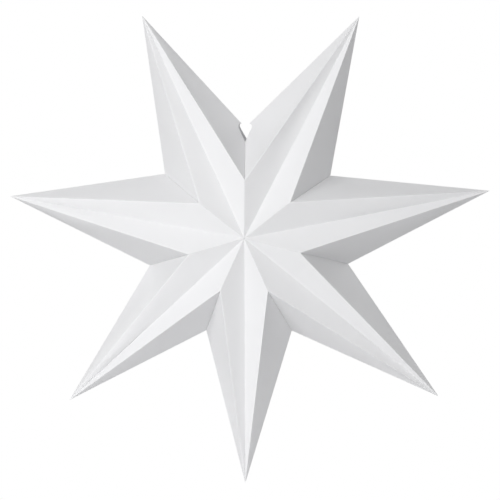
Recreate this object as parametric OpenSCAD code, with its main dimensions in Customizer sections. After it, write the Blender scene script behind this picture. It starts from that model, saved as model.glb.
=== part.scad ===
// Paper star lamp shade. Each point is one sheet of white card, folded into eight
// facets and glued along a lap at the back. Tabs folded in along its open edges are
// glued to the tabs of its neighbours. Double-sided strips close the ring at the top,
// where a notch in both edges lets the lamp's cord out.
//
// +Z is up and -Y is the front. The origin is at the outer corner of the closing joint,
// in the middle of the cord notch. Angles run clockwise from the top, seen from the front.

/* [Star] */
// Number of points
point_count = 7; // [5:1:9]
// Middle of the star to the tip of a point
tip_radius = 360; // [300:1:460]
// Middle of the star to the outer corners between the points
corner_radius = 151; // [120:1:180]
// Middle of the star to the front and back corners of the ridges
ridge_radius = 85; // [65:1:105]
// Height of the ridge corners above the middle plane
ridge_depth = 95; // [65:1:125]
// Height of the front and back centres above the middle plane
centre_depth = 95; // [65:1:125]

/* [Card] */
// Thickness of the card
card = 0.3; // [0.2:0.05:0.6]
// Length of each tip that its folds fill solid
tip_solid = 8; // [6:0.5:16]
// Length cut from each tip, which leaves it blunt
tip_blunt = 0.5; // [0.3:0.1:1.5]
// Width of the glue tabs
tab_width = 12; // [7:0.5:18]
// Angle at which a tab is cut back at its ends
tab_end_angle = 45; // [35:1:60]
// Width of the lap that closes a folded sheet
lap_width = 10; // [6:0.5:14]
// Bare length left at each end of the lap
lap_margin = 40; // [20:1:80]

/* [Joints] */
// Thickness of the glue between two tabs
glue = 0.1; // [0.05:0.05:0.3]
// Thickness of the double-sided strips in the closing joint
strip_thickness = 0.2; // [0.1:0.05:0.5]
// Border of bare tab round a strip
strip_border = 2; // [1:0.5:3]
// Room between a strip and the tabs on each side of it
strip_clearance = 0.05; // [0.02:0.01:0.1]

/* [Cord notch] */
// Radius of the round end of the notch
notch_radius = 12.5; // [9:0.5:16]
// Outer corner to the middle of the round end, along the edge
notch_offset = 7; // [3:0.5:10]
// Outer corner to the sharp end of the notch, along the edge
notch_length = 34; // [28:1:45]

/* [Settling] */
// Lean of each tip, in degrees
tip_lean = [0.7, 1.9, 1.5, 1.1, -3.5, -3.4, -0.4]; // [-4:0.1:4]
// Distance by which each tip stands out
tip_pull = [1.5, -1, 2.5, 2, -0.5, -0.5, 1.5]; // [-5:0.5:5]
// Lean of the ridge corners at each joint, from the closing joint on, in degrees
ridge_lean = [0.4, 0.5, 1.7, 1.6, -0.9, -3.4, -0.9]; // [-4:0.1:4]
// Distance by which the ridge corners at each joint are pulled outwards
ridge_pull = [-0.5, 0, -1, -1, -1, 0, -2.5]; // [-4:0.5:4]
// Lean of the outer corner at each joint, in degrees
corner_lean = [-2.5, 1.3, 2.4, 1.6, -0.6, -3.1, -2.2]; // [-4:0.1:4]
// Distance by which each outer corner is pulled outwards
corner_pull = [10, -2, -1, 0, 1, 3, 5]; // [-5:1:15]

/* [Hidden] */

pitch = 360 / point_count;
white_card = [0.95, 0.95, 0.96];
clear_film = [0.85, 0.88, 0.9];
closing_joint = 0;
front_centre = [0, -centre_depth, 0];
// How far the working shapes run past the card that they trim
overrun = 20;
cut_through = 4;
notch_steps = 24;

function wrap(k) = (k + point_count) % point_count;
function pick(values, k) = values[wrap(k) % len(values)];
function unit(v) = v / norm(v);
function flipped(p) = [p.x, -p.y, p.z];
function clock(radius, angle) = [radius * sin(angle), 0, radius * cos(angle)];

// Corners of the star, about its middle
function tip(i) =
    clock(tip_radius + pick(tip_pull, i - 1), (i - 0.5) * pitch + pick(tip_lean, i - 1));
function outer_corner(k) =
    clock(corner_radius + pick(corner_pull, k), k * pitch + pick(corner_lean, k));
function ridge_corner(k) =
    clock(ridge_radius + pick(ridge_pull, k), k * pitch + pick(ridge_lean, k))
    - [0, ridge_depth, 0];
cord_corner = outer_corner(closing_joint);

// A plane is a unit normal and its distance from the middle along that normal. The normal
// points away from the point named inside.
function plane(a, b, c, inside) =
    let (n = unit(cross(b - a, c - a)), side = n * (inside - a) > 0 ? -1 : 1)
    [side * n, side * n * a];
function inset(p, depth) = [p[0], p[1] - depth];
function meet(p, q, r) =
    (p[1] * cross(q[0], r[0]) + q[1] * cross(r[0], p[0]) + r[1] * cross(p[0], q[0]))
    / (p[0] * cross(q[0], r[0]));

// Front half of the joint surface at joint k, as point i sees it
function joint_plane(i, k) =
    plane(front_centre, ridge_corner(k), outer_corner(k), tip(i) / 2);
function half_gap(k) =
    wrap(k) == closing_joint ? strip_thickness / 2 + strip_clearance : glue / 2;

// Open edge of a folded sheet: from the front centre round the later joint to the back
// centre, and round the earlier joint to the front again
function open_edge(i) =
    let (
        later = [ridge_corner(i), outer_corner(i)],
        earlier = [ridge_corner(i - 1), outer_corner(i - 1)]
    )
    [
        front_centre, later[0], later[1], flipped(later[0]),
        flipped(front_centre), flipped(earlier[0]), earlier[1], earlier[0]
    ];
function facets(i) =
    let (edge = open_edge(i), count = len(edge))
    [for (k = [0:count - 1]) plane(tip(i), edge[k], edge[(k + 1) % count], tip(i) / 2)];

// Section of a folded point, inset by the given depth, where a plane crosses it
function section(i, depth, across) =
    let (sides = facets(i), count = len(sides))
    [
        for (k = [0:count - 1])
            meet(inset(sides[(k + count - 1) % count], depth), inset(sides[k], depth), across)
    ];

// Solid through a list of rings that all have the same number of corners
module loft(rings) {
    count = len(rings[0]);
    last = (len(rings) - 1) * count;
    polyhedron(
        points = [for (ring = rings, p = ring) p],
        faces = [
            [for (k = [0:count - 1]) k],
            [for (k = [count:-1:1]) last + k % count],
            for (r = [0:len(rings) - 2], k = [0:count - 1])
                let (a = r * count + k, b = r * count + (k + 1) % count)
                [a, a + count, b + count, b]
        ]
    );
}

// Plate between two shifted copies of a flat outline
module plate(outline, from, to) {
    count = len(outline);
    turn = cross(outline[1] - outline[0], outline[2] - outline[1]) * (to - from);
    ring = turn > 0 ? outline : [for (k = [count - 1:-1:0]) outline[k]];
    loft([[for (p = ring) p + from], [for (p = ring) p + to]]);
}

// Folded point as a full solid: its facets inset by a depth and its end cut square
module point_form(i, depth, short_of_tip, behind) {
    along = unit(tip(i));
    loft([
        section(i, depth, [-along, behind]),
        section(i, depth, [along, norm(tip(i)) - short_of_tip])
    ]);
}

// Room between the joint surfaces on both sides of a point
module point_room(i) {
    earlier = inset(joint_plane(i, i - 1), half_gap(i - 1));
    later = inset(joint_plane(i, i), half_gap(i));
    far = [unit(tip(i)), norm(tip(i)) + overrun];
    reach = max(centre_depth, ridge_depth) + overrun;
    function slice(y) =
        let (level = [[0, 1, 0], y])
        [meet(earlier, later, level), meet(earlier, far, level), meet(later, far, level)];
    loft([slice(-reach), slice(0), [for (p = slice(-reach)) flipped(p)]]);
}

// Outline of a tab on an edge from a to b, or of what lies on it inside a border. It lies
// square to the given normal and reaches towards the middle of the star.
function tab_outline(edge, normal, border = 0) =
    let (
        a = edge[0],
        b = edge[1],
        along = unit(b - a),
        across = unit(cross(normal, along)),
        inwards = across * (a + b) < 0 ? across : -across,
        low = border,
        high = tab_width - border,
        end_low = low / tan(tab_end_angle) + border / sin(tab_end_angle),
        end_high = high / tan(tab_end_angle) + border / sin(tab_end_angle)
    )
    [
        a + along * end_low + inwards * low, b - along * end_low + inwards * low,
        b - along * end_high + inwards * high, a + along * end_high + inwards * high
    ];

// Ends of the edge that carries the inner tab and the outer tab at joint k. The outer
// tab at the closing joint stops at the notch.
function inner_edge(k) = [front_centre, ridge_corner(k)];
function outer_edge(k) =
    let (
        from = ridge_corner(k),
        to = outer_corner(k),
        cut = wrap(k) == closing_joint ? notch_length : 0
    )
    [from, to - unit(to - from) * cut];

module both_faces() {
    children();
    mirror([0, 1, 0]) children();
}

// Tabs of point i along joint k
module tabs(i, k) {
    away = joint_plane(i, k)[0];
    both_faces()
        for (edge = [inner_edge(k), outer_edge(k)])
            plate(tab_outline(edge, away), away, -away * (half_gap(k) + card));
}

// Lap inside the back valley, where the sheet closes on itself
module lap(i) {
    valley = unit(flipped(front_centre) - tip(i));
    facet = plane(tip(i), flipped(front_centre), flipped(ridge_corner(i - 1)), tip(i) / 2);
    across = unit(cross(facet[0], valley));
    side = across * (ridge_corner(i - 1) - tip(i)) > 0 ? across : -across;
    first = tip(i) + valley * (tip_solid + lap_margin);
    last = flipped(front_centre) - valley * lap_margin;
    plate(
        [first, last, last + (side - valley) * lap_width, first + (side + valley) * lap_width],
        [0, 0, 0],
        -facet[0] * 2 * card
    );
}

// Half of the cord notch, in the outer facet of point i beside the closing joint
module cord_notch(i) {
    facet = plane(tip(i), ridge_corner(closing_joint), cord_corner, tip(i) / 2);
    along = unit(ridge_corner(closing_joint) - cord_corner);
    across = unit(cross(facet[0], along));
    middle = cord_corner + along * notch_offset;
    // The straight sides leave the round end where they touch it
    touch = acos(notch_radius / (notch_length - notch_offset));
    outline = [
        cord_corner + along * notch_length,
        for (s = [0:notch_steps])
            let (a = touch + s * (360 - 2 * touch) / notch_steps)
            middle + (along * cos(a) + across * sin(a)) * notch_radius
    ];
    both_faces() plate(outline, facet[0] * cut_through, -facet[0] * cut_through);
}

// One point of the star
module star_point(i) {
    difference() {
        intersection() {
            point_form(i, 0, tip_blunt, overrun);
            point_room(i);
        }
        difference() {
            point_form(i, card, tip_solid, overrun + cut_through);
            tabs(i, i - 1);
            tabs(i, i);
            lap(i);
        }
        if (wrap(i) == closing_joint || wrap(i - 1) == closing_joint) cord_notch(i);
    }
}

// Double-sided strip between two tabs of the closing joint
module closing_strip(edge) {
    away = joint_plane(1, closing_joint)[0];
    half = away * strip_thickness / 2;
    plate(tab_outline(edge, away, strip_border), half, -half);
}

module star_points() {
    for (i = [1:point_count])
        color(white_card) translate(-cord_corner) star_point(i);
}

module closing_strip_front_inner() {
    color(clear_film) translate(-cord_corner) closing_strip(inner_edge(closing_joint));
}

module closing_strip_front_outer() {
    color(clear_film) translate(-cord_corner) closing_strip(outer_edge(closing_joint));
}

module closing_strip_back_inner() {
    mirror([0, 1, 0]) closing_strip_front_inner();
}

module closing_strip_back_outer() {
    mirror([0, 1, 0]) closing_strip_front_outer();
}

star_points();
closing_strip_front_inner();
closing_strip_front_outer();
closing_strip_back_inner();
closing_strip_back_outer();
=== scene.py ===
# %% [markdown]
# # A paper star lamp shade
# The real shade is made of seven sheets of white card. Each sheet is folded into one
# pointed star arm, and the seven arms are glued edge to edge round the middle. This
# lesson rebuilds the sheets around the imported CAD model, which is loaded first and then
# stays as it is. The shade's own lengths are written in millimetres and turned into
# metres. Those of the camera, the floor and the lamps are in metres.

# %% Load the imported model
import math

import bmesh
import bpy
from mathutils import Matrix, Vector


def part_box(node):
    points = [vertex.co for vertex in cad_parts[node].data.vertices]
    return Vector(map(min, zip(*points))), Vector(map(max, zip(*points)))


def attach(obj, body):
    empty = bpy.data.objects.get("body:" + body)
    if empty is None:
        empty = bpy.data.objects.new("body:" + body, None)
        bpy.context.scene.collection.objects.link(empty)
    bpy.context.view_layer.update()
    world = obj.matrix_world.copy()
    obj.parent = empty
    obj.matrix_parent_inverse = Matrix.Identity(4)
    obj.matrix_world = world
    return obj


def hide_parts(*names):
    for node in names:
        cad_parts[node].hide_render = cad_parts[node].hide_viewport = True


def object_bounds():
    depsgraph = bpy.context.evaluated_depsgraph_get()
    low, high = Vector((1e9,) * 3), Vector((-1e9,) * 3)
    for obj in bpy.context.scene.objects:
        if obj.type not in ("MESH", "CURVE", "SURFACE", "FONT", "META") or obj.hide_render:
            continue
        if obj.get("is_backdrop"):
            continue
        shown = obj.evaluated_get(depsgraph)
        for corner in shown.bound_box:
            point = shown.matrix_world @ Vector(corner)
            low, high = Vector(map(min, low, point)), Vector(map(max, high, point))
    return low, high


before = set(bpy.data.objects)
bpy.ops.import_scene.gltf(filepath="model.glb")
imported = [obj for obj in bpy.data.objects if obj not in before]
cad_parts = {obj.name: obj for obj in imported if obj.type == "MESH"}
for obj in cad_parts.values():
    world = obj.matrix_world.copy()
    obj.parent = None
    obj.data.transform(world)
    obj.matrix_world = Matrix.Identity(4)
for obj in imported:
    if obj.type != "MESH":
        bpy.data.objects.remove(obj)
bpy.context.view_layer.update()
cad_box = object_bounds()
scene = bpy.context.scene
scene.view_settings.view_transform = "Standard"
print("nodes:", ", ".join(sorted(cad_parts)))
print("CAD box:", [[round(v, 4) for v in corner] for corner in cad_box])

# %% [markdown]
# ## The star's corners
# Everything follows from a few corners: the tip of each arm, the outer corner between two
# arms, the ridge corner above it, and the centre. They repeat the named values of the CAD
# source, so the sheets lie exactly where the solids are. A real shade is never quite
# regular, so each corner leans by up to a few degrees and stands up to ten millimetres in
# or out, as measured on the photograph.

# %% Sizes of the star
MM = 0.001
POINTS = 7
FACETS = 8
PITCH = 360 / POINTS
TIP_RADIUS = 360
CORNER_RADIUS = 151
RIDGE_RADIUS = 85
RIDGE_DEPTH = 95
CENTRE_DEPTH = 95
# Leans are in degrees clockwise, pulls in millimetres outwards
TIP_LEAN = [0.7, 1.9, 1.5, 1.1, -3.5, -3.4, -0.4]
TIP_PULL = [1.5, -1, 2.5, 2, -0.5, -0.5, 1.5]
RIDGE_LEAN = [0.4, 0.5, 1.7, 1.6, -0.9, -3.4, -0.9]
RIDGE_PULL = [-0.5, 0, -1, -1, -1, 0, -2.5]
CORNER_LEAN = [-2.5, 1.3, 2.4, 1.6, -0.6, -3.1, -2.2]
CORNER_PULL = [10, -2, -1, 0, 1, 3, 5]
CLOSING_JOINT = 0


def clock(radius, angle):
    """A place on the star's middle plane, with angles clockwise from the top."""
    turn = math.radians(angle)
    return Vector((radius * math.sin(turn), 0, radius * math.cos(turn))) * MM


def flipped(place):
    """The same place on the other side of the middle plane."""
    return Vector((place.x, -place.y, place.z))


CORD_CORNER = clock(CORNER_RADIUS + CORNER_PULL[CLOSING_JOINT], CORNER_LEAN[CLOSING_JOINT])
STAR_CENTRE = -CORD_CORNER
FRONT_CENTRE = Vector((0, -CENTRE_DEPTH * MM, 0)) - CORD_CORNER


def tip(i):
    radius = TIP_RADIUS + TIP_PULL[i - 1]
    return clock(radius, (i - 0.5) * PITCH + TIP_LEAN[i - 1]) - CORD_CORNER


def outer_corner(k):
    k %= POINTS
    return clock(CORNER_RADIUS + CORNER_PULL[k], k * PITCH + CORNER_LEAN[k]) - CORD_CORNER


def ridge_corner(k):
    k %= POINTS
    foot = clock(RIDGE_RADIUS + RIDGE_PULL[k], k * PITCH + RIDGE_LEAN[k])
    return foot - Vector((0, RIDGE_DEPTH * MM, 0)) - CORD_CORNER


for i in range(1, POINTS + 1):
    low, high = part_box(f"star_point_{i}")
    # Axes 0 and 2 are X and Z, which the middle plane lies along
    reach = max(max(low[a] - tip(i)[a], tip(i)[a] - high[a]) for a in (0, 2))
    print(f"tip {i} lies {reach / MM:.2f} mm outside its solid")

# %% [markdown]
# ## The camera and the floor
# The photograph looks almost straight at the shade, from a little to the right and a
# little above, with a long lens. A long lens far away keeps the same flat look. The floor
# lies well below the hanging shade, so it shows in the other views, where it carries the
# soft shadow, and stays under the edge of this picture.

# %% Camera
AIM_BELOW_CENTRE = 0.0194
AIM = STAR_CENTRE - Vector((0, 0, AIM_BELOW_CENTRE))
CAMERA_AZIMUTH = math.radians(4.95)
CAMERA_ELEVATION = math.radians(1.4)
CAMERA_DISTANCE = 12.0
PICTURE_WIDTH = 0.7344
SENSOR = 36.0

towards_camera = Vector((
    math.sin(CAMERA_AZIMUTH) * math.cos(CAMERA_ELEVATION),
    -math.cos(CAMERA_AZIMUTH) * math.cos(CAMERA_ELEVATION),
    math.sin(CAMERA_ELEVATION),
))
bpy.ops.object.camera_add(
    location=AIM + towards_camera * CAMERA_DISTANCE,
    rotation=(-towards_camera).to_track_quat("-Z", "Y").to_euler(),
)
camera = bpy.context.object
camera.name = "photograph_camera"
camera.data.sensor_width = SENSOR
camera.data.lens = SENSOR * CAMERA_DISTANCE / PICTURE_WIDTH
scene.camera = camera
print(f"lens {camera.data.lens:.0f} mm at {CAMERA_DISTANCE} m")

# %% Floor
FLOOR_DROP = 0.2
FLOOR_RADIUS = 1.25
FLOOR_SIDES = 96
FLOOR_PLACE = (AIM.x, 0, cad_box[0][2] - FLOOR_DROP)
bpy.ops.mesh.primitive_circle_add(
    vertices=FLOOR_SIDES, radius=FLOOR_RADIUS, fill_type="NGON", location=FLOOR_PLACE
)
floor = bpy.context.object
floor.name = "floor"
bpy.ops.object.transform_apply(location=True, rotation=True, scale=True)
floor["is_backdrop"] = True
print("floor at", round(FLOOR_PLACE[2], 3))

# %% [markdown]
# ## Writing shader sums as Python
# Node trees are easier to read as sums. `Wire` holds one output of a node and answers to
# `+`, `-`, `*` and `at_least` by adding Math nodes. `Board` adds any other node: its
# settings first, and then the values or wires of its sockets.

# %% Wire and Board
class Wire:
    def __init__(self, board, socket):
        self.board, self.socket = board, socket

    def sum(self, operation, first, second):
        sockets = {0: first, 1: second}
        return self.board.add("ShaderNodeMath", {"operation": operation}, sockets)["Value"]

    def __add__(self, other):
        return self.sum("ADD", self, other)

    def __sub__(self, other):
        return self.sum("SUBTRACT", self, other)

    def __mul__(self, other):
        return self.sum("MULTIPLY", self, other)

    __radd__ = __add__
    __rmul__ = __mul__

    def at_least(self, other):
        return self.sum("MAXIMUM", self, other)


class Board:
    def __init__(self, tree):
        self.tree = tree
        tree.nodes.clear()

    def add(self, kind, settings=None, sockets=None):
        node = self.tree.nodes.new(kind)
        for name, value in (settings or {}).items():
            setattr(node, name, value)
        for name, value in (sockets or {}).items():
            if isinstance(name, int):
                socket = node.inputs[name]
            else:
                socket = next(s for s in node.inputs if name in (s.identifier, s.name))
            if isinstance(value, Wire):
                self.tree.links.new(value.socket, socket)
            else:
                socket.default_value = value
        return {s.identifier: Wire(self, s) for s in node.outputs}


print("shader helpers ready")

# %% [markdown]
# ## Light
# The photograph has the plain, even light of a product picture: the whole room is bright,
# and the background is pure white. The world gives the even part. What the camera sees of
# the world directly is white at strength 1, and so is what a glossy or clear surface would
# show of it. Light that soaks through the card counts as transmitted too, but as diffuse
# as well, so it is taken out again.

# %% World
ROOM_LIGHT = 0.32

world = bpy.data.worlds.new("white_studio")
world.use_nodes = True
scene.world = world
board = Board(world.node_tree)
path = board.add("ShaderNodeLightPath")
seen = path["Is Camera Ray"].at_least(path["Is Glossy Ray"])
seen = seen.at_least(path["Is Transmission Ray"] - path["Is Diffuse Ray"])
room = board.add(
    "ShaderNodeBackground",
    sockets={"Color": (1, 1, 1, 1), "Strength": ROOM_LIGHT + seen * (1 - ROOM_LIGHT)},
)
board.add("ShaderNodeOutputWorld", sockets={"Surface": room["Background"]})
print("room light", ROOM_LIGHT)

# %% [markdown]
# ## Soft lamps
# Large round lamps give shadows without an edge. In front, the strongest stands a little
# to the left, so facets that face left are brighter. One straight ahead keeps the others
# from going grey, and a faint one hangs above. Two more stand behind: they light the back,
# and part of their light shines through the card.

# %% Lamps
LAMP_DISTANCE = 3.0
LAMP_WIDTH = 1.8
# Name, azimuth to the right of the front and elevation in degrees, and power in watts
LAMPS = [
    ("window_lamp", -30, 12, 46),
    ("front_lamp", 0, 12, 35),
    ("high_lamp", 0, 88, 6),
    ("left_back_lamp", -135, 20, 30),
    ("right_back_lamp", 135, 20, 22),
]


def add_lamp(name, azimuth, elevation, power):
    turn, lift = math.radians(azimuth), math.radians(elevation)
    out = Vector((
        math.sin(turn) * math.cos(lift), -math.cos(turn) * math.cos(lift), math.sin(lift)
    ))
    bpy.ops.object.light_add(
        type="AREA",
        location=STAR_CENTRE + out * LAMP_DISTANCE,
        rotation=(-out).to_track_quat("-Z", "Y").to_euler(),
    )
    lamp = bpy.context.object
    lamp.name = name
    lamp.data.shape = "DISK"
    lamp.data.size = LAMP_WIDTH
    lamp.data.energy = power
    print(f"{name}: {power} W")


for lamp in LAMPS:
    add_lamp(*lamp)

# %% [markdown]
# ## White card
# The card is thin, matt and almost pure white. Looked at closely it is not one flat
# colour: the pulp clouds it very slightly, and short fibres lie across each other. A
# scored fold is a touch lighter, partly from the real whitening where the surface cracks
# and partly as a painted highlight along the crease. The pattern follows Object
# coordinates, and the fold follows a value stored on the sheet's own points. Thin card
# also lets part of the light through, so a Translucent shader is mixed in.

# %% Card material
CARD_WHITE = (0.926, 0.927, 0.935, 1)
CARD_CLOUD = (0.906, 0.907, 0.916, 1)
# Colour of a fold: partly cracked card, partly a painted highlight along the crease
CRACKED_AND_HIGHLIT_FOLD = (0.947, 0.948, 0.955, 1)
LIT_THROUGH = (0.944, 0.945, 0.95, 1)
THROUGH = 0.35
# Scale and detail of each pattern, and how far the two kinds of fibre are drawn out
CLOUD_NOISE = (45, 3)
PULP_NOISE = (420, 2)
FIBRE_NOISE = (900, 2)
UPRIGHT_FIBRES = (1, 0.35, 0.2)
LEVEL_FIBRES = (0.2, 1, 0.5)
NOISE_ROUGHNESS = 0.6
# Shares of each pattern in the colour and in the height of the surface
CLOUD_SHARE = 0.6
PULP_SHARE = 0.4
FOLD_CRACK_AND_HIGHLIGHT_SHARE = 0.7
FIBRE_SHARE = 0.5
BUMP_STRENGTH = 0.12
BUMP_DISTANCE = 0.2 * MM
CARD_ROUGHNESS = 0.78
ROUGHER_CLOUDS = 0.12
SMOOTHER_FOLDS = 0.1
CARD_SPECULAR = 0.3


def card_material():
    material = bpy.data.materials.new("white_card")
    material.use_nodes = True
    board = Board(material.node_tree)
    place = board.add("ShaderNodeTexCoord")["Object"]

    def noise(scale, detail, squash=(1, 1, 1)):
        stretched = board.add("ShaderNodeMapping", sockets={"Vector": place, "Scale": squash})
        return board.add(
            "ShaderNodeTexNoise",
            sockets={"Vector": stretched["Vector"], "Scale": scale, "Detail": detail,
                     "Roughness": NOISE_ROUGHNESS},
        )["Fac"]

    cloud = noise(*CLOUD_NOISE)
    pulp = noise(*PULP_NOISE)
    fibre = noise(*FIBRE_NOISE, UPRIGHT_FIBRES) + noise(*FIBRE_NOISE, LEVEL_FIBRES)
    fold = board.add(
        "ShaderNodeAttribute", {"attribute_name": "fold", "attribute_type": "GEOMETRY"}
    )["Fac"]
    body = board.add(
        "ShaderNodeMix", {"data_type": "RGBA"},
        {"Factor_Float": cloud * CLOUD_SHARE + pulp * PULP_SHARE, "A_Color": CARD_CLOUD,
         "B_Color": CARD_WHITE},
    )["Result_Color"]
    # Folds are lightened, partly as cracked card and partly as a painted highlight
    colour = board.add(
        "ShaderNodeMix", {"data_type": "RGBA"},
        {"Factor_Float": fold * FOLD_CRACK_AND_HIGHLIGHT_SHARE, "A_Color": body, "B_Color": CRACKED_AND_HIGHLIT_FOLD},
    )["Result_Color"]
    bump = board.add(
        "ShaderNodeBump",
        sockets={"Strength": BUMP_STRENGTH, "Distance": BUMP_DISTANCE,
                 "Height": fibre * FIBRE_SHARE + pulp},
    )["Normal"]
    roughness = CARD_ROUGHNESS + cloud * ROUGHER_CLOUDS - fold * SMOOTHER_FOLDS
    card = board.add(
        "ShaderNodeBsdfPrincipled",
        sockets={"Base Color": colour, "Roughness": roughness,
                 "Specular IOR Level": CARD_SPECULAR, "Normal": bump},
    )
    glow = board.add("ShaderNodeBsdfTranslucent", sockets={"Color": LIT_THROUGH})
    sheet = board.add(
        "ShaderNodeMixShader", sockets={0: THROUGH, 1: card["BSDF"], 2: glow["BSDF"]}
    )
    board.add("ShaderNodeOutputMaterial", sockets={"Surface": sheet["Shader"]})
    return material


white_card = card_material()
print("card material has", len(white_card.node_tree.nodes), "nodes")

# %% [markdown]
# ## One sheet, folded
# A real arm is one sheet with eight folds that all run to the tip. In Blender the same
# form is quickly made from its open edge: a circle whose points are laid along that edge,
# extruded towards the tip again and again while it shrinks about the tip. Each corner of
# the ring is a small curve, because card never folds to a perfect line, and the rings lie
# close together at the joint, where the sheet turns in to its glue tabs.

# %% The open edge
GLUE = 0.1
FOLD_CURVE = 1.2
CURVE_STEPS = 3
EDGE_STEPS = 9
EDGE_SUPPORTS = [FOLD_CURVE, 2.0, 3.6]


def joint_plane(i, k):
    """Front half of the joint at k: its normal, away from arm i, and the tip's distance."""
    along = ridge_corner(k) - FRONT_CENTRE
    normal = along.cross(outer_corner(k) - FRONT_CENTRE).normalized()
    distance = (tip(i) - FRONT_CENTRE).dot(normal)
    return (-normal, distance) if distance > 0 else (normal, -distance)


def set_back(i, corner, joints):
    """A corner of the open edge, drawn back towards the tip by half the glue's thickness."""
    nearest = min(joint_plane(i, k)[1] for k in joints)
    return corner + (tip(i) - corner) * (GLUE / 2 * MM / nearest)


def open_edge(i):
    """Eight corners, from the front centre round the later joint to the back and home."""
    centre = set_back(i, FRONT_CENTRE, (i, i - 1))
    later = [set_back(i, c, (i,)) for c in (ridge_corner(i), outer_corner(i))]
    earlier = [set_back(i, c, (i - 1,)) for c in (ridge_corner(i - 1), outer_corner(i - 1))]
    return [
        centre, later[0], later[1], flipped(later[0]),
        flipped(centre), flipped(earlier[0]), earlier[1], earlier[0],
    ]


def ring_points(corners):
    """Places for the circle's points: along each side, and round each folded corner."""
    places = []
    for k, corner in enumerate(corners):
        after = corners[(k + 1) % len(corners)]
        side = after - corner
        along, length = side.normalized(), side.length
        ends = [d * MM for d in EDGE_SUPPORTS]
        first, last = ends[-1], length - ends[-1]
        middle = [first + (last - first) * s / EDGE_STEPS for s in range(1, EDGE_STEPS)]
        steps = ends + middle + [length - d for d in reversed(ends)]
        places += [corner + along * d for d in steps]
        curve_start = after - along * ends[0]
        onwards = (corners[(k + 2) % len(corners)] - after).normalized()
        curve_end = after + onwards * ends[0]
        for s in range(1, CURVE_STEPS + 1):
            t = s / (CURVE_STEPS + 1)
            places.append(
                curve_start * (1 - t) ** 2 + after * 2 * t * (1 - t) + curve_end * t**2
            )
    return places


print("points round one open edge:", len(ring_points(open_edge(1))))

# %% [markdown]
# ## Selecting by place
# Operators act on what is selected. The helpers below open a piece in edit mode and
# select vertices, edges or faces for which a test on their own place says yes.

# %% Selection helpers
def only(piece):
    """Nothing but this piece is selected, and it is active."""
    if bpy.context.object and bpy.context.object.mode != "OBJECT":
        bpy.ops.object.mode_set(mode="OBJECT")
    bpy.ops.object.select_all(action="DESELECT")
    piece.select_set(True)
    bpy.context.view_layer.objects.active = piece


def edit(piece, mode):
    only(piece)
    bpy.ops.object.mode_set(mode="EDIT")
    bpy.ops.mesh.select_mode(type=mode)
    bpy.ops.mesh.select_all(action="DESELECT")


def pick(piece, kind, test):
    """In edit mode, selects exactly the elements that pass the test."""
    bpy.ops.mesh.select_all(action="DESELECT")
    mesh = bmesh.from_edit_mesh(piece.data)
    chosen = [e for e in getattr(mesh, kind) if test(e)]
    for element in chosen:
        element.select_set(True)
    bmesh.update_edit_mesh(piece.data)
    return len(chosen)


def done():
    bpy.ops.object.mode_set(mode="OBJECT")


print("selection helpers ready")

# %% [markdown]
# ## From the joint to the tip
# The stations are distances from the joint, on the way to a tip that is about 155 mm
# away. The first few lie close together, because the folds to the glue tabs are rounded
# there. The last ones draw the folds together in the tip. Later steps also ask how far
# along its arm a place lies, so a helper measures that.

# %% Extrude the arm
WAY_TO_TIP = 155
STATIONS = [0, 1.2, 2.6, 7, 16, 28, 42, 56, 72, 88, 104, 118, 130, 140, 147, 151.5, 153.6,
            154.6]


def arm_shell(i):
    places = ring_points(open_edge(i))
    bpy.ops.object.select_all(action="DESELECT")
    bpy.ops.mesh.primitive_circle_add(
        vertices=len(places), radius=CORNER_RADIUS * MM, fill_type="NOTHING", location=(0, 0, 0)
    )
    piece = bpy.context.object
    piece.name = piece.data.name = f"folded_point_{i}"
    for vertex, place in zip(piece.data.vertices, places):
        vertex.co = place
    edit(piece, "VERT")
    bpy.ops.mesh.select_all(action="SELECT")
    for before, after in zip(STATIONS, STATIONS[1:]):
        shrink = (WAY_TO_TIP - after) / (WAY_TO_TIP - before)
        bpy.ops.mesh.extrude_region()
        bpy.ops.transform.resize(value=(shrink,) * 3, center_override=tip(i))
    bpy.ops.mesh.edge_face_add()
    bpy.ops.mesh.select_all(action="SELECT")
    bpy.ops.mesh.normals_make_consistent(inside=False)
    done()
    return piece


print("rings from the joint to the tip:", len(STATIONS))


# %% How far along an arm a place lies
def share(i, place):
    """How far a place on arm i is on its way from the joint, at 0, to the tip, at 1."""
    front = Vector((place.x, -abs(place.y), place.z))
    shares = []
    for k in (i, i - 1):
        normal, distance = joint_plane(i, k)
        shares.append((FRONT_CENTRE - front).dot(normal) / distance)
    return min(shares)


ends = [round(share(1, end), 3) for end in (ridge_corner(1), tip(1))]
print("share of the way at a ridge corner and at the tip:", ends)

# %% [markdown]
# ## The lap that closes the sheet
# One fold of each arm isn't a fold at all: in the back valley the sheet's two ends meet,
# and a narrow lap on one of them is glued under the other. It is made from the faces
# beside the valley, which are doubled and laid just inside the card.

# %% Add the lap
CARD = 0.3
LAP_DEPTH = 1.1 * CARD
LAP_COLUMN = 6 * MM
LAP_ENDS = (0.15, 0.85)
ON_PANEL = 0.05 * MM


def add_lap(piece, i):
    edit(piece, "FACE")
    valley, ridge = flipped(FRONT_CENTRE), flipped(ridge_corner(i - 1))
    normal = (valley - tip(i)).cross(ridge - tip(i)).normalized()
    if normal.dot(valley - STAR_CENTRE) < 0:
        normal = -normal
    along = (tip(i) - valley).normalized()

    def beside_valley(face):
        out = face.calc_center_median() - valley
        on_panel = abs(out.dot(normal)) < ON_PANEL
        from_valley = (out - along * out.dot(along)).length
        way = share(i, face.calc_center_median())
        return on_panel and from_valley < LAP_COLUMN and LAP_ENDS[0] < way < LAP_ENDS[1]

    chosen = pick(piece, "faces", beside_valley)
    bpy.ops.mesh.duplicate()
    bpy.ops.transform.translate(value=-normal * LAP_DEPTH * MM)
    done()
    return chosen


print(f"lap from {LAP_ENDS[0]:.0%} to {LAP_ENDS[1]:.0%} of the way to the tip")

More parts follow.
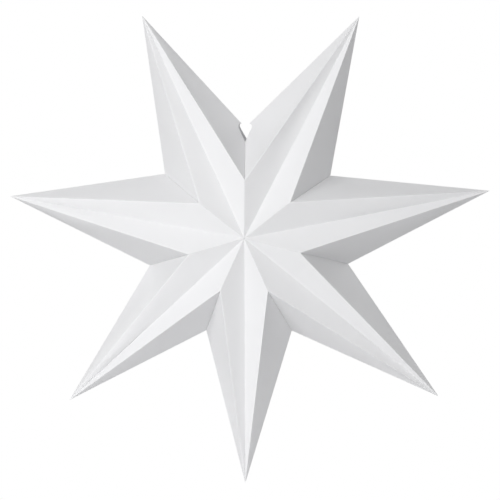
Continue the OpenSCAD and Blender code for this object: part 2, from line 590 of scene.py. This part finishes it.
# %% [markdown]
# ## Glue tabs
# Along the joint the real sheet is folded in to form eight tabs, one for each side of the
# open edge, and each is glued to the tab of the next arm. Their ends are cut back at 45
# degrees so that they clear each other in the corners. Here the edges of one side are
# extruded once, moved in along the joint, and shortened about their own middle. The two
# outer tabs at the closing joint stop short, where the notch for the cord begins. The tabs
# there also lean back a little, to leave room for the strips between them. A small bevel
# then rounds every fold to a tab, so a seam is a fine groove, as it is on real card. At
# the closing joint, which is pressed together last, the folds are rounder.

# %% Sides of the open edge
TAB_WIDTH = 12
TAB_MARGIN = 2
STRIP_ROOM = 0.1
NOTCH_LENGTH = 34
NEAR = 0.01 * MM
NEAR_CORNER = 5 * MM
BACK_SIDES = (2, 3, 4, 5)


def sides(i):
    """Each side of the open edge: its two ends, its joint and whether it is at the back."""
    corners = open_edge(i)
    for n, start in enumerate(corners):
        k = i if n < FACETS / 2 else i - 1
        yield start, corners[(n + 1) % FACETS], k, n in BACK_SIDES


def on_side(start, end, place):
    """True on the straight line from start to end, a little away from both."""
    along = (end - start).normalized()
    distance = (place - start).dot(along)
    margin = TAB_MARGIN * MM - NEAR
    off = (place - start - along * distance).length
    return off < NEAR and margin < distance < (end - start).length - margin


lengths = [round((end - start).length / MM) for start, end, k, back in sides(1)]
print("sides of the first open edge in mm:", lengths)


# %% Extrude one tab
def add_tab(piece, i, start, end, k, back):
    along = (end - start).normalized()
    normal = joint_plane(i, k)[0]
    inwards = (flipped(normal) if back else normal).cross(along)
    if inwards.dot(start + end - 2 * STAR_CENTRE) > 0:
        inwards = -inwards
    reach_in = inwards * TAB_WIDTH * MM
    if k % POINTS == CLOSING_JOINT:
        reach_in -= (flipped(normal) if back else normal) * STRIP_ROOM * MM
        if (end - outer_corner(k)).length < NEAR_CORNER:
            end = end - along * NOTCH_LENGTH * MM
        if (start - outer_corner(k)).length < NEAR_CORNER:
            start = start + along * NOTCH_LENGTH * MM
    chosen = pick(piece, "edges", lambda edge: edge.is_boundary and all(
        on_side(start, end, v.co) for v in edge.verts))
    reach = [v.co.dot(along) for v in bmesh.from_edit_mesh(piece.data).verts if v.select]
    length = max(reach) - min(reach)
    middle = start + along * ((max(reach) + min(reach)) / 2 - start.dot(along))
    bpy.ops.mesh.extrude_region()
    bpy.ops.transform.translate(value=reach_in)
    bpy.ops.transform.resize(
        value=(1 - 2 * TAB_WIDTH * MM / length,) * 3, center_override=middle + reach_in
    )
    return chosen


print(f"tabs {TAB_WIDTH} mm wide")

# %% Extrude all tabs and round their folds
FOLD_ROUND = 0.3
CLOSING_ROUND = 0.7
ROUND_STEPS = 3


def add_tabs(piece, i):
    edit(piece, "EDGE")
    for side in sides(i):
        add_tab(piece, i, *side)
    folds = 0
    for closing, radius in ((False, FOLD_ROUND), (True, CLOSING_ROUND)):
        lines = [s[:2] for s in sides(i) if (s[2] % POINTS == CLOSING_JOINT) == closing]
        found = pick(piece, "edges", lambda edge: not edge.is_boundary and any(
            all(on_side(start, end, v.co) for v in edge.verts) for start, end in lines))
        if found:
            bpy.ops.mesh.bevel(
                offset=radius * MM, segments=ROUND_STEPS, affect="EDGES", clamp_overlap=False
            )
        folds += found
    bpy.ops.mesh.select_all(action="SELECT")
    bpy.ops.mesh.normals_make_consistent(inside=False)
    done()
    return folds


print(f"folds rounded by {FOLD_ROUND} mm, and by {CLOSING_ROUND} mm at the closing joint")

# %% [markdown]
# ## Panels that aren't quite flat
# Large panels of card bow a little as the glue dries. Displace moves the middle of each
# panel by a millimetre or two along a soft cloud pattern. A vertex group holds the folds,
# the joint and the tip in place, so the arms still meet.

# %% Where on its panel a place lies
# A place nearer to the joint or to the tip than this counts as off the panel
PANEL_ENDS = (0.002, 0.99)


def panel_place(i, place):
    """Where a point lies on its panel: its way to the tip, and its way across, both 0-1."""
    way = share(i, place)
    if not PANEL_ENDS[0] < way < PANEL_ENDS[1]:
        return 0, 0
    rim = tip(i) + (place - tip(i)) / (1 - way)
    best = None
    for start, end, k, back in sides(i):
        along = end - start
        across = (rim - start).dot(along) / along.length_squared
        off = (rim - start - along * across).length
        if 0 <= across <= 1 and (best is None or off < best[0]):
            best = (off, across)
    return (way, best[1]) if best else (0, 0)


place = (tip(1) + ridge_corner(0) + outer_corner(0)) / 3
print("the middle of a side wall:", [round(part, 2) for part in panel_place(1, place)])

# %% Bow the panels
BOW = 5
BOW_SCALE = 0.09
# Brings the weight to 1 in the middle of a panel
MIDDLE_WEIGHT = 16

clouds = bpy.data.textures.new("panel_bow", "CLOUDS")
clouds.noise_scale = BOW_SCALE
clouds.noise_depth = 0


def bow_panels(piece, i):
    group = piece.vertex_groups.new(name="panel_middle")
    for vertex in piece.data.vertices:
        way, across = panel_place(i, vertex.co)
        weight = MIDDLE_WEIGHT * way * (1 - way) * across * (1 - across)
        group.add([vertex.index], weight, "REPLACE")
    only(piece)
    bpy.ops.object.modifier_add(type="DISPLACE")
    bow = piece.modifiers[-1]
    bow.texture = clouds
    bow.texture_coords = "LOCAL"
    bow.strength = BOW * MM
    bow.vertex_group = group.name
    bpy.ops.object.modifier_apply(modifier=bow.name)


print(f"bow of up to {BOW / 2} mm to each side")

# %% [markdown]
# ## The card's thickness
# A sheet of 0.3 mm has two faces. Solidify adds the inner one, and thins it towards the
# tip, where the folds lie on each other.

# %% Solidify
TIP_THINNING = 10


def thicken(piece, i):
    group = piece.vertex_groups.new(name="card")
    for vertex in piece.data.vertices:
        left = (vertex.co - tip(i)).length / (TIP_THINNING * MM)
        group.add([vertex.index], min(1, left), "REPLACE")
    only(piece)
    bpy.ops.object.modifier_add(type="SOLIDIFY")
    card = piece.modifiers[-1]
    card.thickness = CARD * MM
    card.offset = -1
    card.vertex_group = group.name
    bpy.ops.object.modifier_apply(modifier=card.name)


print(f"card {CARD} mm thick")

# %% [markdown]
# ## The cord notch
# The two edges of the closing joint are each cut with half a teardrop: round at the outer
# corner, where the cord hangs, and sharp towards the ridge. A thin prism of that outline
# is laid square through each of the four panels, and a Boolean takes it away.

# %% Cutter for the notch
NOTCH_RADIUS = 12.5
NOTCH_OFFSET = 7
NOTCH_STEPS = 28
CUTTER_DEPTH = 8


def notch_cutter(i, back):
    ridge, outer, end = ridge_corner(CLOSING_JOINT), outer_corner(CLOSING_JOINT), tip(i)
    if back:
        ridge = flipped(ridge)
    along = (ridge - outer).normalized()
    normal = along.cross(end - outer).normalized()
    across = normal.cross(along)
    middle = outer + along * NOTCH_OFFSET * MM
    touch = math.acos(NOTCH_RADIUS / (NOTCH_LENGTH - NOTCH_OFFSET))
    outline = [outer + along * NOTCH_LENGTH * MM]
    for s in range(NOTCH_STEPS + 1):
        turn = touch + s * (math.tau - 2 * touch) / NOTCH_STEPS
        arm = along * math.cos(turn) + across * math.sin(turn)
        outline.append(middle + arm * NOTCH_RADIUS * MM)
    bpy.ops.object.select_all(action="DESELECT")
    bpy.ops.mesh.primitive_circle_add(
        vertices=len(outline), radius=NOTCH_RADIUS * MM, fill_type="NGON", location=(0, 0, 0)
    )
    cutter = bpy.context.object
    for vertex, place in zip(cutter.data.vertices, outline):
        vertex.co = place - normal * CUTTER_DEPTH / 2 * MM
    edit(cutter, "FACE")
    bpy.ops.mesh.select_all(action="SELECT")
    bpy.ops.mesh.extrude_region()
    bpy.ops.transform.translate(value=normal * CUTTER_DEPTH * MM)
    bpy.ops.mesh.select_all(action="SELECT")
    bpy.ops.mesh.normals_make_consistent(inside=False)
    done()
    return cutter


print(f"notch {NOTCH_LENGTH} mm long, round to {NOTCH_RADIUS} mm")


# %% Cut the notch
def cut_notch(piece, i):
    for back in (False, True):
        cutter = notch_cutter(i, back)
        only(piece)
        bpy.ops.object.modifier_add(type="BOOLEAN")
        cut = piece.modifiers[-1]
        cut.operation = "DIFFERENCE"
        cut.solver = "EXACT"
        cut.object = cutter
        bpy.ops.object.modifier_apply(modifier=cut.name)
        bpy.data.objects.remove(cutter)


print("two cutters for each arm at the closing joint")

# %% [markdown]
# ## Marking the folds
# The material needs to know where the card is folded. A value on the points is 1 on a
# fold and fades to 0 within two millimetres. The card is lightened by it, partly as
# cracked card and partly as a painted highlight along each crease. It belongs to the
# mesh, so it stays in place whatever the arm does.

# %% Fold attribute
FOLD_FADE = 2


def mark_folds(piece, i):
    corners = open_edge(i)
    lines = [(tip(i), corner) for corner in corners]
    lines += [(start, end) for start, end, k, back in sides(i)]
    fold = piece.data.attributes.new("fold", "FLOAT", "POINT")
    for vertex, value in zip(piece.data.vertices, fold.data):
        nearest = 1.0
        for start, end in lines:
            along = end - start
            t = max(0, min(1, (vertex.co - start).dot(along) / along.length_squared))
            nearest = min(nearest, (vertex.co - start - along * t).length)
        value.value = max(0, 1 - nearest / (FOLD_FADE * MM))


print(f"folds fade over {FOLD_FADE} mm")

# %% [markdown]
# ## The seven arms
# Every arm leans its own way, so each is folded from its own open edge by the same steps.
# The folds are soft curves, so the mesh is shaded smooth wherever it turns gently.

# %% Fold all seven arms
SMOOTH_UNDER = math.radians(42)


def folded_point(i):
    piece = arm_shell(i)
    lap_faces = add_lap(piece, i)
    tab_folds = add_tabs(piece, i)
    bow_panels(piece, i)
    thicken(piece, i)
    if CLOSING_JOINT in (i % POINTS, i - 1):
        cut_notch(piece, i)
    mark_folds(piece, i)
    only(piece)
    bpy.ops.object.shade_smooth_by_angle(angle=SMOOTH_UNDER)
    piece.data.materials.clear()
    piece.data.materials.append(white_card)
    print(f"{piece.name}: {len(piece.data.polygons)} faces, lap {lap_faces}, folds {tab_folds}")
    return piece


for i in range(1, POINTS + 1):
    piece = folded_point(i)
    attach(piece, "root")
    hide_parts(f"star_point_{i}")

# %% [markdown]
# ## The double-sided strips
# The four strips in the closing joint keep their CAD shape, which is already right. They
# are pale film with a faint cloudy haze, and hardly show between the two tabs.

# %% Film
FILM_CLEAR = (0.8, 0.82, 0.84, 1)
FILM_HAZY = (0.87, 0.89, 0.9, 1)
HAZE_NOISE = (160, 3)
FILM_ROUGHNESS = 0.35
ROUGHER_HAZE = 0.2


def film_material():
    material = bpy.data.materials.new("adhesive_film")
    material.use_nodes = True
    board = Board(material.node_tree)
    place = board.add("ShaderNodeTexCoord")["Object"]
    haze = board.add(
        "ShaderNodeTexNoise",
        sockets={"Vector": place, "Scale": HAZE_NOISE[0], "Detail": HAZE_NOISE[1]},
    )["Fac"]
    colour = board.add(
        "ShaderNodeMix", {"data_type": "RGBA"},
        {"Factor_Float": haze, "A_Color": FILM_CLEAR, "B_Color": FILM_HAZY},
    )["Result_Color"]
    film = board.add(
        "ShaderNodeBsdfPrincipled",
        sockets={"Base Color": colour, "Roughness": FILM_ROUGHNESS + haze * ROUGHER_HAZE},
    )
    board.add("ShaderNodeOutputMaterial", sockets={"Surface": film["BSDF"]})
    return material


film = film_material()
for name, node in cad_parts.items():
    if name.startswith("closing_strip"):
        for place in node.material_slots:
            place.material = film
        print(name, "has its film")

# %% [markdown]
# ## The floor's finish
# The floor is matt and pale. Towards its rim it fades out, so it has no hard edge against
# the white background.

# %% Floor material
FLOOR_COLOUR = (0.92, 0.92, 0.925, 1)
FADE_START = 0.45
GRAIN_NOISE = (90, 4)
FLOOR_ROUGHNESS = 0.85
ROUGHER_GRAIN = 0.1
FLOOR_SPECULAR = 0.2


def floor_material():
    material = bpy.data.materials.new("pale_floor")
    material.use_nodes = True
    board = Board(material.node_tree)
    place = board.add("ShaderNodeTexCoord")["Object"]
    middle = board.add(
        "ShaderNodeVectorMath", {"operation": "DISTANCE"}, {0: place, 1: FLOOR_PLACE}
    )["Value"]
    faded = board.add(
        "ShaderNodeMapRange", {"interpolation_type": "SMOOTHSTEP"},
        {"Value": middle, "From Min": FLOOR_RADIUS * FADE_START, "From Max": FLOOR_RADIUS},
    )["Result"]
    grain = board.add(
        "ShaderNodeTexNoise",
        sockets={"Vector": place, "Scale": GRAIN_NOISE[0], "Detail": GRAIN_NOISE[1]},
    )["Fac"]
    matt = board.add(
        "ShaderNodeBsdfPrincipled",
        sockets={"Base Color": FLOOR_COLOUR,
                 "Roughness": FLOOR_ROUGHNESS + grain * ROUGHER_GRAIN,
                 "Specular IOR Level": FLOOR_SPECULAR},
    )
    clear = board.add("ShaderNodeBsdfTransparent")
    mixed = board.add(
        "ShaderNodeMixShader", sockets={0: faded, 1: matt["BSDF"], 2: clear["BSDF"]}
    )
    board.add("ShaderNodeOutputMaterial", sockets={"Surface": mixed["Shader"]})
    return material


floor.data.materials.append(floor_material())
print("floor finished")

# %% [markdown]
# ## The size before and after
# The box of the CAD model and the box of the finished model are printed side by side,
# so a change of the shade's size would show.

# %% Size before and after
bpy.context.view_layer.update()
boxes = {"cad": [list(c) for c in cad_box], "visual": [list(c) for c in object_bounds()]}
for name, (low, high) in boxes.items():
    print(name, [round((b - a) * 1000, 1) for a, b in zip(low, high)], "mm")
